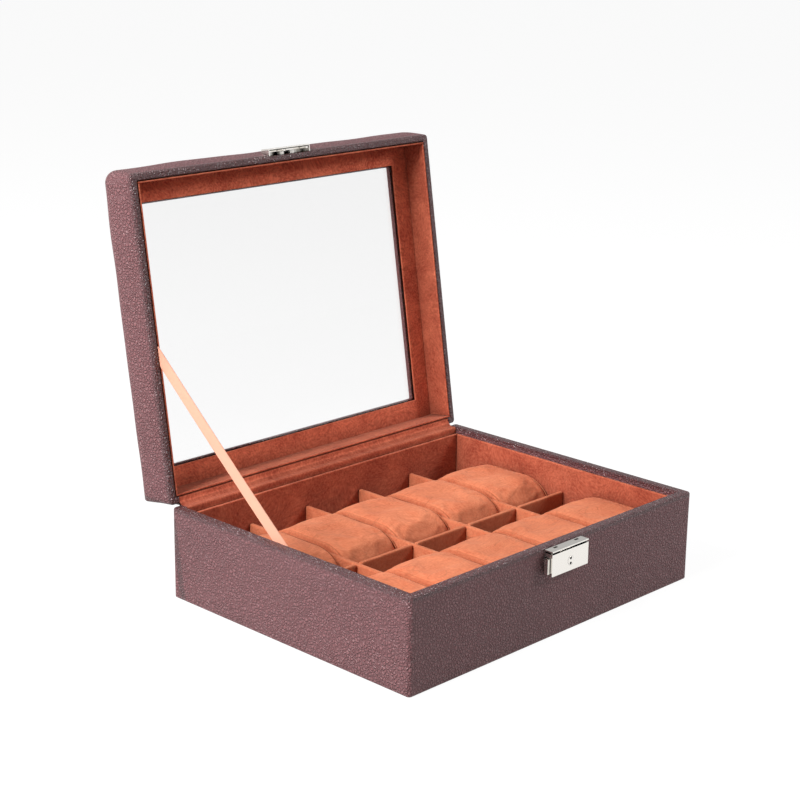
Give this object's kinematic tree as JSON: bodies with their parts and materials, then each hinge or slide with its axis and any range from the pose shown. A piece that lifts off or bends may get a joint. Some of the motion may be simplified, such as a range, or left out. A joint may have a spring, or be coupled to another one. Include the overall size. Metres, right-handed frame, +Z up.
{
  "type": "watch box",
  "caption": "Leather-covered watch box with a padded window lid, ribbon stay, slide lock, divided suede-lined case and lift-out pillows.",
  "frame": {"origin": "on the table, under the middle of the base", "axes": "+Z up, -Y towards the lock on the front, +X to the right"},
  "size_m": [0.2654, 0.2731, 0.268],
  "materials": {
    "leather": "grained, satin",
    "board": "raw fibreboard",
    "foam": "open-cell padding",
    "suede": "brushed microsuede",
    "felt": "matte felt",
    "glass": "clear",
    "nickel": "polished plate",
    "satin": "satin weave"
  },
  "bodies": {
    "base": {"base_bottom_board": "board", "base_front_board": "board", "base_rear_board": "board", "base_left_board": "board", "base_right_board": "board", "base_leather_wrap": "leather", "base_felt": "felt", "liner_front": "suede", "liner_rear": "suede", "liner_left": "suede", "liner_right": "suede", "floor_pad": "suede", "cross_divider": "suede", "depth_divider_1": "suede", "depth_divider_2": "suede", "depth_divider_3": "suede", "depth_divider_4": "suede", "lock_base_plate": "nickel", "lock_cover": "nickel", "lock_rivet_left": "nickel", "lock_rivet_right": "nickel", "lock_spring": "nickel", "outer_hinge_strip": "leather", "inner_hinge_strip": "suede", "ribbon_stay": "satin"},
    "lid": {"lid_front_rail": "board", "lid_rear_rail": "board", "lid_left_rail": "board", "lid_right_rail": "board", "lid_top_board": "board", "lid_leather_cover": "leather", "lid_padding": "foam", "lid_glass": "glass", "lid_liner_front": "suede", "lid_liner_rear": "suede", "lid_liner_left": "suede", "lid_liner_right": "suede", "lid_lining_frame": "suede", "catch_cover": "nickel", "catch_hook_plate": "nickel", "catch_screw_left": "nickel", "catch_screw_right": "nickel"},
    "lock_slide": {"lock_slide": "nickel"},
    "key_rotor": {"key_rotor": "nickel"},
    "pillow_front_1": {"pillow_front_1": "suede"},
    "pillow_front_2": {"pillow_front_2": "suede"},
    "pillow_front_3": {"pillow_front_3": "suede"},
    "pillow_front_4": {"pillow_front_4": "suede"},
    "pillow_front_5": {"pillow_front_5": "suede"},
    "pillow_rear_1": {"pillow_rear_1": "suede"},
    "pillow_rear_2": {"pillow_rear_2": "suede"},
    "pillow_rear_3": {"pillow_rear_3": "suede"},
    "pillow_rear_4": {"pillow_rear_4": "suede"},
    "pillow_rear_5": {"pillow_rear_5": "suede"}
  },
  "joints": [
    {"name": "lid_hinge", "type": "hinge", "parent": "base", "child": "lid", "pos_m": [0, 0.1033, 0.0603], "axis": [-1, 0, 0], "range_deg": [-99, 0], "deforming": ["outer_hinge_strip", "inner_hinge_strip", "ribbon_stay"]},
    {"name": "lock_push", "type": "slide", "parent": "base", "child": "lock_slide", "axis": [1, 0, 0], "range_m": [0, 0.002], "stiffness_N_per_m": 300, "springref_m": -0.003, "deforming": ["lock_spring"]},
    {"name": "key_turn", "type": "hinge", "parent": "base", "child": "key_rotor", "pos_m": [0, -0.1076, 0.0495], "axis": [0, 1, 0], "range_deg": [-90, 0]},
    {"name": "pillow_front_1_lift", "type": "slide", "parent": "base", "child": "pillow_front_1", "axis": [0, 0, 1], "range_m": [0, 0.06]},
    {"name": "pillow_front_2_lift", "type": "slide", "parent": "base", "child": "pillow_front_2", "axis": [0, 0, 1], "range_m": [0, 0.06]},
    {"name": "pillow_front_3_lift", "type": "slide", "parent": "base", "child": "pillow_front_3", "axis": [0, 0, 1], "range_m": [0, 0.06]},
    {"name": "pillow_front_4_lift", "type": "slide", "parent": "base", "child": "pillow_front_4", "axis": [0, 0, 1], "range_m": [0, 0.06]},
    {"name": "pillow_front_5_lift", "type": "slide", "parent": "base", "child": "pillow_front_5", "axis": [0, 0, 1], "range_m": [0, 0.06]},
    {"name": "pillow_rear_1_lift", "type": "slide", "parent": "base", "child": "pillow_rear_1", "axis": [0, 0, 1], "range_m": [0, 0.06]},
    {"name": "pillow_rear_2_lift", "type": "slide", "parent": "base", "child": "pillow_rear_2", "axis": [0, 0, 1], "range_m": [0, 0.06]},
    {"name": "pillow_rear_3_lift", "type": "slide", "parent": "base", "child": "pillow_rear_3", "axis": [0, 0, 1], "range_m": [0, 0.06]},
    {"name": "pillow_rear_4_lift", "type": "slide", "parent": "base", "child": "pillow_rear_4", "axis": [0, 0, 1], "range_m": [0, 0.06]},
    {"name": "pillow_rear_5_lift", "type": "slide", "parent": "base", "child": "pillow_rear_5", "axis": [0, 0, 1], "range_m": [0, 0.06]}
  ]
}
